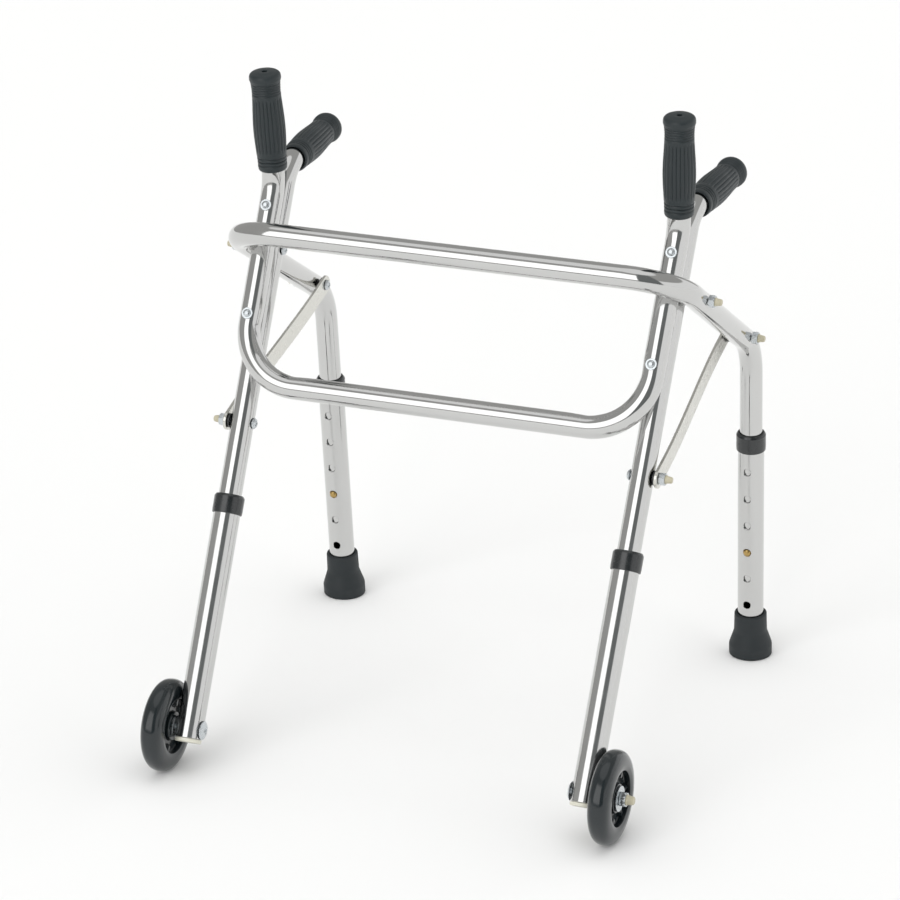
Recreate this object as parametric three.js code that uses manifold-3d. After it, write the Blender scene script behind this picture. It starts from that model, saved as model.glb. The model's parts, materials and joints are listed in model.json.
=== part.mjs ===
// Child's walking frame: chromed upper tubes, telescopic legs, front wheels and rear rubber feet.
// Millimetres, +Z up, -Y is the front, +X is the user's left.
// The origin is on the floor, in the middle of the frame's footprint.
import * as THREE from 'three';
import { mergeVertices } from 'three/addons/utils/BufferGeometryUtils.js';
import Module from 'manifold-3d';

const wasm = await Module();
wasm.setup();

// ---- driving dimensions -------------------------------------------------------------------
const GAP = 0.35;                    // clearance between pieces that touch
const PITCH = 25.4;                  // spacing of the height-adjustment holes
const UPPER_R = 19.05 / 2;           // upper tubes, 3/4 inch
const UPPER_BORE_R = 8.3;
const LOWER_R = 22.2 / 2;            // lower telescopic tubes, 7/8 inch
const LOWER_BORE_R = 10.0;
const TUBE_SIDES = 16;
const UPPER_BORE_SIDES = 8;          // nothing slides in the upper tubes
const STEPS_PER_BEND = 6;

const LEG_X = 174;                   // front legs and sides of the grip tube, at the main bolt
const SIDE_X = LEG_X + 2 * UPPER_R + GAP;   // side arms and rear legs, at the main bolt
const TOE_IN = 0.6;                  // both sides, degrees in towards the floor
const LEG_LEAN = 30;                 // front legs, degrees from vertical
const GRIP_LEAN = 5;                 // upright grips, degrees forward of vertical
const GRIP_SPLAY = 0.7;              // upright grips, degrees out of the plane of a side
const REAR_GRIP_RISE = 1.5;          // rear grips, degrees above level
const REAR_GRIP_SPLAY = 2.5;
const REAR_LEAN = 4.5;               // rear legs, degrees from vertical
const ARM_SLOPE = 31.4;              // side arms, degrees down towards the rear

const PIVOT_Y = 23;                  // main bolt, through leg and side arm
const PIVOT_Z = 384.4;
const FOOT_Y = 196.4;                // rear leg axis where it meets the floor
const CROSSBAR_REACH = 51.6;         // main bolt to upper crossbar axis, along Y
const REAR_BOLT_REACH = 121;         // main bolt to rear corner bolt, along Y
const CORNER_R = 44;                 // bend radii of the tube centre lines
const REAR_CORNER_R = 52;
const LOWER_BEND_R = 48;
const GRIP_BEND_R = 38;
const LEG_TOP_R = 28;

// distances down the front leg, measured from the main bolt
const GRIP_BEND_AT = -50.8;
const LEG_BEND_AT = -70.5;
const RIVETS_AT = [-30.5, 60];
const LOWER_BEND_AT = 114.6;
const STAY_AT = 145.7;
const FRONT_COLLAR_AT = 206.4;       // top of the collar
const LEG_END_AT = 335;
const WHEEL_R = 38.1;
const WHEEL_W = 18.8;
const HUB_SUNK_IN = 2.3;             // hub faces below the rim, at the leg and at the nut
const HUB_SUNK_OUT = 3.2;
const RUNNING_FIT = 0.13;            // radial clearance of the wheel on its axle

// distances up the rear leg, measured from the floor
const REAR_COLLAR_AT = 212.6;        // top of the collar
const REAR_END_AT = 62;
const FOOT_FLOOR = 8;                // rubber under the end of the tube
const FOOT_H = 40.5;

const COLLAR_H = 16;
const FIRST_HOLE = 33.6;             // collar top to first hole
const HOLES = 6;
const BUTTON_HOLE = 3;               // the button sits in the fourth hole
const BUTTON_R = 3.1;
const BUTTON_PROUD = 1.6;
const HOLE_CLEARANCE = 0.3;
const TUBE_END = 8;                  // axle to bottom end of the front lower tube

const GRIP_START = 13.2;             // bend corner to the near end of an upright grip
const REAR_GRIP_START = 15.9;
const GRIP_TO_FLANGE = 80;
const GRIP_DOME = 5.4;
const TUBE_IN_GRIP = 76;

const BOLT_R = 2.4;                  // number 10 frame bolts
const NUT_AF = 9.5;
const NUT_H = 5;
const CAP_R = 3.2;
const AXLE_R = 3.175;                // quarter-inch axle bolt
const AXLE_NUT_AF = 11.1;
const RIVET_R = 2;
const STAY_T = 2.5;
const STAY_W = 16;                   // flat bar, 5/8 inch wide
const SPACER_T = 1.6;                // spacers, and the lip of a collar over its tube's end

// ---- finishes -----------------------------------------------------------------------------
function finish(color, roughness, metalness) {
  return new THREE.MeshStandardMaterial({ color, roughness, metalness });
}
const chrome = finish(0xd6d8d6, 0.12, 1);
const satinAluminium = finish(0xdcdedd, 0.35, 1);
const zinc = finish(0xc4c6c4, 0.3, 1);
const brass = finish(0xbea573, 0.35, 1);
const springSteel = finish(0x8c8f90, 0.35, 1);
const gripRubber = finish(0x3c4244, 0.6, 0);
const footRubber = finish(0x2d3436, 0.7, 0);
const wheelPlastic = finish(0x3c4242, 0.3, 0);
const collarPlastic = finish(0x26292a, 0.5, 0);
const creamPlastic = finish(0xd2cfb4, 0.5, 0);

// ---- solids -------------------------------------------------------------------------------
const Y_AXIS = new THREE.Vector3(0, 1, 0);
const X_AXIS = new THREE.Vector3(1, 0, 0);

/** Closed three.js geometry as a solid, with its faces turned outwards. */
function toSolid(geometry) {
  geometry.deleteAttribute('normal');
  geometry.deleteAttribute('uv');
  const merged = mergeVertices(geometry, 1e-4);
  const vertProperties = Float32Array.from(merged.attributes.position.array);
  const triVerts = Uint32Array.from(merged.index.array);
  const corner = [0, 1, 2].map(() => new THREE.Vector3());
  let volume = 0;
  for (let i = 0; i < triVerts.length; i += 3) {
    corner.forEach((v, k) => v.fromArray(vertProperties, 3 * triVerts[i + k]));
    volume += corner[0].dot(corner[1].clone().cross(corner[2]));
  }
  if (volume < 0) triVerts.reverse();
  return new wasm.Manifold(new wasm.Mesh({ numProp: 3, vertProperties, triVerts }));
}

/** Solid as a named mesh. */
function toMesh(name, solid, material) {
  const { vertProperties, triVerts } = solid.getMesh();
  const geometry = new THREE.BufferGeometry();
  geometry.setAttribute('position', new THREE.BufferAttribute(vertProperties, 3));
  geometry.setIndex(new THREE.BufferAttribute(triVerts, 1));
  geometry.computeVertexNormals();
  const mesh = new THREE.Mesh(geometry, material);
  mesh.name = name;
  return mesh;
}

/** Profile of [radius, height] points turned about Y; the profile starts and ends on the axis. */
function turned(profile, sides = 20) {
  return toSolid(new THREE.LatheGeometry(profile.map(([r, y]) => new THREE.Vector2(r, y)), sides));
}

/** Profile turned about Y into a ring; the profile closes on itself. */
function ring(profile, sides = 20) {
  return turned([...profile, profile[0]], sides);
}

/** Cylinder along a direction, centred on a point, for drilling. */
function drill(point, direction, radius, length) {
  const turn = new THREE.Quaternion().setFromUnitVectors(Y_AXIS, direction);
  const place = new THREE.Matrix4().compose(point, turn, new THREE.Vector3(1, 1, 1));
  return toSolid(new THREE.CylinderGeometry(radius, radius, length, 8).applyMatrix4(place));
}

/** Solid with every drill in the list taken out of it. */
function drilled(solid, drills) {
  return drills.reduce((left, tool) => left.subtract(tool), solid);
}

/** Mesh stood on a point with its own Y axis along a direction. */
function placed(mesh, point, direction) {
  mesh.position.copy(point);
  mesh.quaternion.setFromUnitVectors(Y_AXIS, direction);
  return mesh;
}

/** Straight runs joined by round bends, with a station at each end of a run and along each bend. */
class TubeRun extends THREE.Curve {
  constructor(corners, radii, stepsPerBend) {
    super();
    this.stations = [corners[0]];
    this.tangents = [corners[1].clone().sub(corners[0]).normalize()];
    radii.forEach((radius, i) => {
      const [before, corner, after] = corners.slice(i, i + 3);
      const arriving = corner.clone().sub(before).normalize();
      const leaving = after.clone().sub(corner).normalize();
      const angle = arriving.angleTo(leaving);
      const hinge = arriving.clone().cross(leaving).normalize();
      const start = corner.clone().addScaledVector(arriving, -radius * Math.tan(angle / 2));
      const inward = hinge.clone().cross(arriving);
      const centre = start.clone().addScaledVector(inward, radius);
      for (let step = 0; step <= stepsPerBend; step++) {
        const turn = angle * step / stepsPerBend;
        const arm = inward.clone().multiplyScalar(-radius).applyAxisAngle(hinge, turn);
        this.stations.push(centre.clone().add(arm));
        this.tangents.push(arriving.clone().applyAxisAngle(hinge, turn));
      }
    });
    this.stations.push(corners.at(-1));
    this.tangents.push(this.tangents.at(-1));
  }
  get steps() {
    return this.stations.length - 1;
  }
  getUtoTmapping(u) {
    return u;
  }
  along(list, t) {
    const i = Math.min(Math.floor(t * this.steps + 1e-9), this.steps - 1);
    return list[i].clone().lerp(list[i + 1], t * this.steps - i);
  }
  getPoint(t) {
    return this.along(this.stations, t);
  }
  getTangent(t) {
    return this.along(this.tangents, t).normalize();
  }
}

function circle(radius, sides) {
  return Array.from({ length: sides }, (_, i) => {
    const angle = 2 * Math.PI * i / sides;
    return new THREE.Vector2(radius * Math.cos(angle), radius * Math.sin(angle));
  });
}

/** Hollow tube bent along a run of corners, with a bend radius for each inner corner. */
function tube(corners, radii, outer, bore, boreSides) {
  const section = new THREE.Shape(circle(outer, TUBE_SIDES));
  section.holes.push(new THREE.Path(circle(bore, boreSides)));
  const run = new TubeRun(corners, radii, STEPS_PER_BEND);
  return toSolid(new THREE.ExtrudeGeometry(section, { steps: run.steps, extrudePath: run }));
}
function upperTube(corners, radii) {
  return tube(corners, radii, UPPER_R, UPPER_BORE_R, UPPER_BORE_SIDES);
}

// ---- skeleton: points and directions of the side at +X -------------------------------------
function leaning(degrees) {
  const angle = THREE.MathUtils.degToRad(degrees);
  return [Math.sin(angle), Math.cos(angle)];
}
const [legSin, legCos] = leaning(LEG_LEAN);
const [toeSin, toeCos] = leaning(TOE_IN);

/** Direction in the plane of a side, which leans outwards towards its top, or splayed out of it. */
function inSide(y, z, splay = 0) {
  return new THREE.Vector3(z * toeSin + leaning(splay)[0], y, z * toeCos).normalize();
}
const legDown = inSide(-legSin, -legCos);
const legFront = new THREE.Vector3(0, -legCos, legSin);
const legRear = legFront.clone().negate();
const [gripSin, gripCos] = leaning(GRIP_LEAN);
const gripUp = inSide(-gripSin, gripCos, GRIP_SPLAY);
const [riseSin, riseCos] = leaning(REAR_GRIP_RISE);
const gripBack = inSide(riseCos, riseSin, REAR_GRIP_SPLAY);
const [rearSin, rearCos] = leaning(REAR_LEAN);
const rearUp = inSide(-rearSin, rearCos);
const rearFront = new THREE.Vector3(0, -rearCos, -rearSin);
const armSlope = Math.tan(THREE.MathUtils.degToRad(ARM_SLOPE));

const mainBolt = new THREE.Vector3(LEG_X, PIVOT_Y, PIVOT_Z);
const rearFoot = new THREE.Vector3(SIDE_X - PIVOT_Z * toeSin / toeCos, FOOT_Y, 0);

function onLeg(distance) {
  return mainBolt.clone().addScaledVector(legDown, distance);
}
function onGripTube(distance) {
  return onLeg(distance).addScaledVector(legFront, 2 * UPPER_R + GAP);
}
function onRearLeg(distance) {
  return rearFoot.clone().addScaledVector(rearUp, distance);
}
function onArm(reach) {
  const drop = reach * armSlope;
  return new THREE.Vector3(SIDE_X - drop * toeSin / toeCos, PIVOT_Y + reach, PIVOT_Z - drop);
}
function mirrored(point) {
  return new THREE.Vector3(-point.x, point.y, point.z);
}

const axleAt = (PIVOT_Z - WHEEL_R) / legCos;
const rearLegSlope = rearSin / rearCos;
const cornerReach = (FOOT_Y - PIVOT_Y - PIVOT_Z * rearLegSlope) / (1 - armSlope * rearLegSlope);
const frontButtonAt = FRONT_COLLAR_AT + FIRST_HOLE + BUTTON_HOLE * PITCH;
const rearButtonAt = REAR_COLLAR_AT - FIRST_HOLE - BUTTON_HOLE * PITCH;
const THROUGH = 30;                  // a cut long enough to go through one piece
const ONE_WALL = 7;                  // and for the near wall only
const buttonHoleR = BUTTON_R + HOLE_CLEARANCE;
const boltHoleR = BOLT_R + HOLE_CLEARANCE;

/** Both copies of a list of points, for a tube that spans the frame. */
function bothSides(points) {
  return [...points, ...points.map(mirrored)];
}

// ---- the tubes ----------------------------------------------------------------------------
/** One piece: rear leg, side arm, upper crossbar, side arm, rear leg. */
function topFrameTube() {
  const half = [onRearLeg(REAR_END_AT), onArm(cornerReach), onArm(-CROSSBAR_REACH)];
  const corners = [...half, ...half.map(mirrored).reverse()];
  const bends = [REAR_CORNER_R, CORNER_R, CORNER_R, REAR_CORNER_R];
  const bolts = bothSides([onArm(0), onArm(REAR_BOLT_REACH)]);
  const buttons = bothSides([onRearLeg(rearButtonAt).addScaledVector(rearFront, UPPER_R)]);
  return drilled(upperTube(corners, bends), [
    ...bolts.map((point) => drill(point, X_AXIS, boltHoleR, THROUGH)),
    ...buttons.map((point) => drill(point, rearFront, buttonHoleR, ONE_WALL)),
  ]);
}

/** One piece: upright grip, side in front of the leg, lower crossbar, side, upright grip. */
function gripTube() {
  const top = onGripTube(GRIP_BEND_AT);
  const end = top.clone().addScaledVector(gripUp, GRIP_START + TUBE_IN_GRIP);
  const half = [end, top, onGripTube(LOWER_BEND_AT)];
  const corners = [...half, ...half.map(mirrored).reverse()];
  const bends = [GRIP_BEND_R, LOWER_BEND_R, LOWER_BEND_R, GRIP_BEND_R];
  const rivets = bothSides(RIVETS_AT.map(onGripTube));
  return drilled(upperTube(corners, bends), rivets.map((point) => (
    drill(point, legFront, RIVET_R + HOLE_CLEARANCE, THROUGH)
  )));
}

/** Upper front leg, bent back at its top to carry the rear grip. */
function legTube() {
  const top = onLeg(LEG_BEND_AT);
  const end = top.clone().addScaledVector(gripBack, REAR_GRIP_START + TUBE_IN_GRIP);
  const button = onLeg(frontButtonAt).addScaledVector(legRear, UPPER_R);
  return drilled(upperTube([onLeg(LEG_END_AT), top, end], [LEG_TOP_R]), [
    ...[0, STAY_AT].map((at) => drill(onLeg(at), X_AXIS, boltHoleR, THROUGH)),
    ...RIVETS_AT.map((at) => drill(onLeg(at), legFront, RIVET_R + HOLE_CLEARANCE, THROUGH)),
    drill(button, legRear, buttonHoleR, ONE_WALL),
  ]);
}

/** Lower telescopic tube between two points, with a row of holes on one face. */
function lowerTube(start, end, holeSide, extraDrills) {
  const down = end.clone().sub(start).normalize();
  const holes = Array.from({ length: HOLES }, (_, i) => start.clone()
    .addScaledVector(down, FIRST_HOLE - SPACER_T + i * PITCH)
    .addScaledVector(holeSide, LOWER_R));
  return drilled(tube([start, end], [], LOWER_R, LOWER_BORE_R, TUBE_SIDES), [
    ...holes.map((point) => drill(point, holeSide, buttonHoleR, LOWER_BORE_R)),
    ...extraDrills,
  ]);
}

// ---- turned and moulded pieces --------------------------------------------------------------
/** Collar on the top end of a lower tube; the lip at its top fits the upper tube. */
function collar() {
  const outer = 12.5;
  return ring([
    [UPPER_R + GAP, COLLAR_H], [outer - 1.5, COLLAR_H], [outer, COLLAR_H - 1.8], [outer, 0.6],
    [outer - 0.4, 0], [LOWER_R + GAP, 0], [LOWER_R + GAP, COLLAR_H - SPACER_T + GAP],
    [UPPER_R + GAP, COLLAR_H - SPACER_T + GAP],
  ], 16);
}

/** Grip sleeve: waisted below its flange, swelling in the middle, with a vent hole in its domed end. */
function grip() {
  const bore = UPPER_R + GAP;
  const vent = 2.4;
  const end = GRIP_TO_FLANGE + GRIP_DOME;
  return ring([
    [bore, 0], [11, 0], [12, 2], [13.2, 36], [11.9, 64], [13.1, GRIP_TO_FLANGE], [11.4, end - 1.6],
    [vent, end], [vent, TUBE_IN_GRIP + 2], [bore, TUBE_IN_GRIP + 2],
  ], 16);
}

/** Rubber foot around the end of a rear leg; its base is cut level with the floor. */
function rubberFoot() {
  const bore = LOWER_R + GAP;
  const bell = turned([
    [0, -4], [18.6, -4], [18.6, 5], [17.4, 14], [14.3, 25], [13.8, FOOT_H - 1.2],
    [12.9, FOOT_H], [bore, FOOT_H], [bore, FOOT_FLOOR], [0, FOOT_FLOOR],
  ], 20);
  const turn = new THREE.Quaternion().setFromUnitVectors(Y_AXIS, rearUp);
  const upright = new THREE.Matrix4().compose(rearFoot, turn, new THREE.Vector3(1, 1, 1));
  const below = new THREE.BoxGeometry(80, 80, 20).translate(rearFoot.x, rearFoot.y, -10);
  return bell.transform(upright.elements).subtract(toSolid(below));
}

/** Solid wheel with a rounded tread, a recess on each face and a hub. */
function wheel() {
  const half = WHEEL_W / 2;
  const recess = 22.5;
  const hub = 12;
  const web = 3.2;
  const hubIn = half - HUB_SUNK_IN;
  const hubOut = half - HUB_SUNK_OUT;
  return ring([
    [AXLE_R + RUNNING_FIT, -hubIn], [hub, -hubIn], [hub, -web], [recess, -web],
    [recess, -half + 0.6], [recess + 1, -half], [31, -half], [35.8, -half + 3],
    [WHEEL_R, -1.5], [WHEEL_R, 1.5], [35.8, half - 3], [31, half], [recess + 1, half],
    [recess, half - 0.6], [recess, web], [hub, web], [hub, hubOut],
    [AXLE_R + RUNNING_FIT, hubOut],
  ], 28);
}

/** Cream plug in the bottom end of a front lower tube; its Y axis points into the tube. */
function endPlug() {
  const flange = 3.4;
  const stem = LOWER_BORE_R - 0.5;
  const depth = 4;
  return turned([
    [0, -flange], [LOWER_R - 0.8, -flange], [LOWER_R, -flange + 0.8], [LOWER_R, -GAP],
    [stem, -GAP], [stem, depth], [0, depth],
  ], 16);
}

/** Bolt along Y, its dome head under the origin and its shank above it. */
function domeBolt(headRadius, headHeight, shankRadius, shankLength) {
  return turned([
    [0, -headHeight], [headRadius * 0.8, -headHeight * 0.6], [headRadius, -headHeight * 0.2],
    [headRadius, 0], [shankRadius, 0], [shankRadius, shankLength], [0, shankLength],
  ], 12);
}

/** Hexagon nut with a plastic cap over the end of the bolt. */
function cappedNut(acrossFlats, height, capRadius, capLength, boreRadius) {
  const cornerR = acrossFlats / Math.sqrt(3);
  const hexagon = new THREE.CylinderGeometry(cornerR, cornerR, height, 6);
  const cap = turned([
    [0, height - 1], [capRadius, height - 1], [capRadius, height + capLength - 1.2],
    [capRadius * 0.6, height + capLength], [0, height + capLength],
  ], 12);
  const depth = height + capLength - 1.5;
  const bore = drill(new THREE.Vector3(0, depth / 2 - 1, 0), Y_AXIS, boreRadius, depth + 2);
  return toSolid(hexagon.translate(0, height / 2, 0)).add(cap).subtract(bore);
}

/** Washer or spacer along Y. */
function washer(outer, bore, thickness) {
  return ring([[bore, 0], [outer, 0], [outer, thickness], [bore, thickness]], 16);
}

/** Rivet through grip tube and leg: flanged dome in front, formed head behind. */
function rivet() {
  const grasp = 4 * UPPER_R + 3 * GAP;
  return turned([
    [0, 2.6], [3.1, 1.2], [3.2, 0.6], [4.7, 0.6], [4.7, 0], [RIVET_R, 0], [RIVET_R, -grasp],
    [3.4, -grasp], [2.6, -grasp - 1.8], [0, -grasp - 1.8],
  ], 12);
}

/** Snap button along Y, its dome end outwards; the origin is on the tube's axis. */
function snapButton() {
  const tip = LOWER_R + BUTTON_PROUD;
  return turned([
    [0, 6.8], [BUTTON_R - 0.1, 6.8], [BUTTON_R - 0.1, tip - 1.2], [BUTTON_R * 0.7, tip - 0.3], [0, tip],
  ], 12);
}

/** Hairpin leaf spring inside the tube; X runs down the tube and Y towards the button. */
function leafSpring() {
  const strip = 0.8;
  const button = 6.4;
  const wall = -6.7;
  const hairpin = new THREE.Shape([
    new THREE.Vector2(6, button), new THREE.Vector2(-6, button), new THREE.Vector2(-27, 1.6),
    new THREE.Vector2(-29, 0), new THREE.Vector2(-27, -1.6), new THREE.Vector2(0, wall),
    new THREE.Vector2(6, wall), new THREE.Vector2(6, wall + strip), new THREE.Vector2(0, wall + strip),
    new THREE.Vector2(-26.6, -0.8), new THREE.Vector2(-27.8, 0), new THREE.Vector2(-26.6, 0.8),
    new THREE.Vector2(-6, button - strip), new THREE.Vector2(6, button - strip),
  ]);
  const width = 6;
  return toSolid(new THREE.ExtrudeGeometry(hairpin, { depth: width, bevelEnabled: false })
    .translate(0, 0, -width / 2));
}

/** Flat bar from the leg's outer side to the arm's inner side, joggled between its two flat ends. */
function stay(footBolt, cornerBolt) {
  const span = new THREE.Vector3().subVectors(cornerBolt, footBolt);
  const shift = span.x;
  const length = Math.hypot(span.y, span.z);
  const end = STAY_W / 2;
  const half = STAY_T / 2;
  const pad = 14;
  const outline = new THREE.Shape();
  outline.absarc(0, 0, end, Math.PI / 2, 3 * Math.PI / 2, false);
  outline.absarc(length, 0, end, -Math.PI / 2, Math.PI / 2, false);
  const flat = new THREE.ExtrudeGeometry(outline, { depth: THROUGH, bevelEnabled: false, curveSegments: 6 })
    .translate(0, 0, -THROUGH / 2);
  const joggle = new THREE.Shape([
    new THREE.Vector2(-THROUGH, -half), new THREE.Vector2(pad, -half),
    new THREE.Vector2(length - pad, shift - half), new THREE.Vector2(length + THROUGH, shift - half),
    new THREE.Vector2(length + THROUGH, shift + half), new THREE.Vector2(length - pad, shift + half),
    new THREE.Vector2(pad, half), new THREE.Vector2(-THROUGH, half),
  ]);
  const bent = new THREE.ExtrudeGeometry(joggle, { depth: THROUGH, bevelEnabled: false })
    .rotateX(Math.PI / 2).translate(0, THROUGH / 2, 0);
  const zAxis = new THREE.Vector3(0, 0, 1);
  const holes = [new THREE.Vector3(0, 0, 0), new THREE.Vector3(length, 0, shift)];
  return drilled(toSolid(flat).intersect(toSolid(bent)), holes.map((point) => (
    drill(point, zAxis, boltHoleR, THROUGH)
  )));
}

// ---- assembly -----------------------------------------------------------------------------
const walkingFrame = new THREE.Group();
walkingFrame.add(toMesh('top_frame_tube', topFrameTube(), satinAluminium));
walkingFrame.add(toMesh('grip_tube', gripTube(), chrome));

const skin = UPPER_R + GAP;          // upper tube axis to what touches its side
const stayFootX = onLeg(STAY_AT).x + skin + SPACER_T + GAP + STAY_T / 2;
const stayCornerX = onArm(REAR_BOLT_REACH).x - skin - SPACER_T - GAP - STAY_T / 2;

/** Copy of a point moved to another x. */
function atX(point, x) {
  return new THREE.Vector3(x, point.y, point.z);
}

/** Every piece that exists once on each side, built for the side at +X. */
function sidePieces(side) {
  const group = new THREE.Group();
  const add = (name, solid, material, point, direction) => {
    const mesh = toMesh(`${name}_${side}`, solid, material);
    group.add(point ? placed(mesh, point, direction) : mesh);
  };

  // frame
  add('leg_tube', legTube(), chrome);
  const gripTop = onGripTube(GRIP_BEND_AT);
  add('upright_grip', grip(), gripRubber, gripTop.addScaledVector(gripUp, GRIP_START), gripUp);
  const legTop = onLeg(LEG_BEND_AT);
  add('rear_grip', grip(), gripRubber, legTop.addScaledVector(gripBack, REAR_GRIP_START), gripBack);
  const stayFoot = atX(onLeg(STAY_AT), stayFootX);
  const stayCorner = atX(onArm(REAR_BOLT_REACH), stayCornerX);
  const bar = toMesh(`stay_${side}`, stay(stayFoot, stayCorner), satinAluminium);
  const barDirection = atX(stayCorner.clone().sub(stayFoot), 0).normalize();
  const barBasis = new THREE.Matrix4().makeBasis(barDirection, X_AXIS.clone().cross(barDirection), X_AXIS);
  bar.quaternion.setFromRotationMatrix(barBasis);
  bar.position.copy(stayFoot);
  group.add(bar);

  // fasteners of the frame
  const [head, headHeight, capLength] = [4.6, 3, 5.6];
  const stayHalf = STAY_T / 2 + GAP;
  const frameBolts = [
    ['main', onLeg(0), LEG_X - skin, SIDE_X + skin],
    ['stay_foot', stayFoot, onLeg(STAY_AT).x - skin, stayFootX + stayHalf],
    ['rear_corner', stayCorner, stayCornerX - stayHalf, onArm(REAR_BOLT_REACH).x + skin],
  ];
  for (const [name, point, from, to] of frameBolts) {
    const shank = to - from + NUT_H + capLength - 2.6;
    add(`${name}_bolt`, domeBolt(head, headHeight, BOLT_R, shank), zinc, atX(point, from), X_AXIS);
    add(`${name}_nut`, cappedNut(NUT_AF, NUT_H, CAP_R, capLength, boltHoleR), zinc, atX(point, to), X_AXIS);
  }
  const spacer = () => washer(6, boltHoleR, SPACER_T);
  add('stay_foot_spacer', spacer(), collarPlastic, atX(stayFoot, onLeg(STAY_AT).x + skin), X_AXIS);
  add('rear_corner_spacer', spacer(), collarPlastic, atX(stayCorner, stayCornerX + stayHalf), X_AXIS);
  RIVETS_AT.forEach((at, i) => {
    const name = ['upper_rivet', 'lower_rivet'][i];
    add(name, rivet(), zinc, onGripTube(at).addScaledVector(legFront, UPPER_R + GAP), legFront);
  });

  // height adjustment: a button and its spring in each upper tube
  const latches = [
    ['front', onLeg(frontButtonAt), legRear, legDown],
    ['rear', onRearLeg(rearButtonAt), rearFront, rearUp.clone().negate()],
  ];
  for (const [name, point, out, down] of latches) {
    add(`${name}_button`, snapButton(), brass, point, out);
    const spring = toMesh(`${name}_button_spring_${side}`, leafSpring(), springSteel);
    const springBasis = new THREE.Matrix4().makeBasis(down, out, down.clone().cross(out));
    spring.quaternion.setFromRotationMatrix(springBasis);
    spring.position.copy(point);
    group.add(spring);
  }

  // front lower leg and wheel
  const axle = onLeg(axleAt);
  const axleHole = drill(axle, X_AXIS, AXLE_R + HOLE_CLEARANCE, THROUGH);
  const [frontTop, frontBottom] = [FRONT_COLLAR_AT + SPACER_T, axleAt + TUBE_END].map(onLeg);
  add('front_lower_tube', lowerTube(frontTop, frontBottom, legRear, [axleHole]), satinAluminium);
  add('front_collar', collar(), collarPlastic, onLeg(FRONT_COLLAR_AT + COLLAR_H), legDown.clone().negate());
  add('end_plug', endPlug(), creamPlastic, frontBottom, legDown.clone().negate());
  const innerWasher = 2;
  const outerWasher = 1.5;
  const washerX = axle.x + LOWER_R + GAP;
  const wheelX = washerX + innerWasher + GAP + WHEEL_W / 2 - HUB_SUNK_IN;
  const outerWasherX = wheelX + WHEEL_W / 2 - HUB_SUNK_OUT + GAP;
  const nutX = outerWasherX + outerWasher + GAP;
  const axleFrom = axle.x - LOWER_R - GAP;
  const axleBore = AXLE_R + HOLE_CLEARANCE;
  const axleShank = nutX - axleFrom + NUT_H + 3.4;
  add('axle_bolt', domeBolt(7.8, 2.4, AXLE_R, axleShank), zinc, atX(axle, axleFrom), X_AXIS);
  add('inner_washer', washer(9, axleBore, innerWasher), zinc, atX(axle, washerX), X_AXIS);
  add('wheel', wheel(), wheelPlastic, atX(axle, wheelX), X_AXIS);
  add('outer_washer', washer(10.4, axleBore, outerWasher), zinc, atX(axle, outerWasherX), X_AXIS);
  add('axle_nut', cappedNut(AXLE_NUT_AF, NUT_H, 4, 6.2, axleBore), zinc, atX(axle, nutX), X_AXIS);

  // rear lower leg and foot
  const [rearTop, rearBottom] = [REAR_COLLAR_AT - SPACER_T, FOOT_FLOOR + GAP].map(onRearLeg);
  add('rear_lower_tube', lowerTube(rearTop, rearBottom, rearFront, []), satinAluminium);
  add('rear_collar', collar(), collarPlastic, onRearLeg(REAR_COLLAR_AT - COLLAR_H), rearUp);
  add('rubber_foot', rubberFoot(), footRubber);
  return group;
}

const left = sidePieces('left');
const right = sidePieces('right');
right.scale.x = -1;
walkingFrame.add(left, right);

export default walkingFrame;
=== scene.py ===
import json
import math
import bmesh
import bpy
import numpy as np
from mathutils import Matrix, Vector


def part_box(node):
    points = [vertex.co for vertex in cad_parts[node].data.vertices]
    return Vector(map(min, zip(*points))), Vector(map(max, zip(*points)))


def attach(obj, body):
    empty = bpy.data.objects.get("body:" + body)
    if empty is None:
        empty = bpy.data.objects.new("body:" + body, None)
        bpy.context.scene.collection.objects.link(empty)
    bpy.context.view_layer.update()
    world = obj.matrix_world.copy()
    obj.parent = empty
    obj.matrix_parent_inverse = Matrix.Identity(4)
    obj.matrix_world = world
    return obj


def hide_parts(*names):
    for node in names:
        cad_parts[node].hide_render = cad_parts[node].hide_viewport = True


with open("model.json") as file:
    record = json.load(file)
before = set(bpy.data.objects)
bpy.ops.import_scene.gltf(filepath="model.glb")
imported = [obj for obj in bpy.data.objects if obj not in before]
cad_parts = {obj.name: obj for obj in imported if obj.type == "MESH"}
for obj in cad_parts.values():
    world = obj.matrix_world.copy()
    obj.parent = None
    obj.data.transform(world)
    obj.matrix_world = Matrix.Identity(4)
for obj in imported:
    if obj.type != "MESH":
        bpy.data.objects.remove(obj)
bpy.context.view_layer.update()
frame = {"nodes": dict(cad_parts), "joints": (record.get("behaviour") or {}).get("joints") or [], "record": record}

# ---- Camera -----------------------------------------------------------------------------------
# A long portrait lens a few metres off, looking down at the frame from its front, a little to the
# user's left of it, so that the near and the far side come out almost the same size.
CAMERA_PLACE = Vector((1.1647, -2.9993, 1.5483))
CAMERA_AZIMUTH, CAMERA_ELEVATION, CAMERA_ROLL = (math.radians(a) for a in (21.418, 22.247, -0.657))
CAMERA_LENS, CAMERA_SENSOR = 170.04, 36      # mm
CAMERA_SHIFT = (0.0021, 0.0075)

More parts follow.
